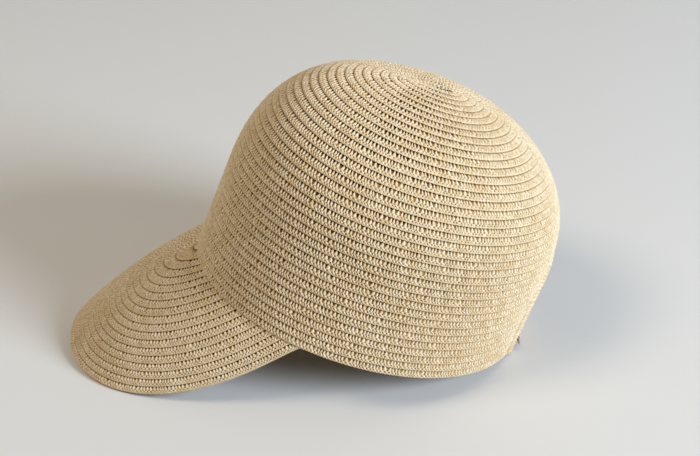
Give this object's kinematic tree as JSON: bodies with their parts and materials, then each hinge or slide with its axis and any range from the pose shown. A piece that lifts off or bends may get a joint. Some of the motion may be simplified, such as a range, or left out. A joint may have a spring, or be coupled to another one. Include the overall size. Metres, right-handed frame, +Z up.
{
  "type": "straw jockey cap",
  "caption": "Straw jockey cap of sewn paper braid with a deep round crown, a downturned visor, an arch opening at the back and a closing leather strap.",
  "frame": {"origin": "under the middle of the cap's bounding box, on the surface it rests on", "axes": "+Z up, -Y to the visor, +X to the wearer's left"},
  "size_m": [0.1732, 0.3002, 0.1748],
  "materials": {
    "paper_braid": "woven matte straw braid",
    "ribbon": "ribbed grosgrain ribbon",
    "leather": "smooth satin",
    "loop_tape": "brushed loops",
    "hook_tape": "moulded hooks",
    "thread": "twisted thread"
  },
  "bodies": {
    "cap": {"crown_braid": "paper_braid", "visor_braid": "paper_braid", "arch_binding": "paper_braid", "sweatband": "ribbon", "sweatband_stitches": "thread", "short_strap": "leather", "loop_patch": "loop_tape", "strap_root": "leather", "strap_stitches": "thread"},
    "strap": {"long_strap": "leather", "hook_patch": "hook_tape"}
  },
  "joints": [
    {"name": "strap_fold", "type": "hinge", "parent": "cap", "child": "strap", "pos_m": [-0.02738, 0.12026, 0.012], "axis": [0, 0, 1], "range_deg": [0, 80]}
  ]
}
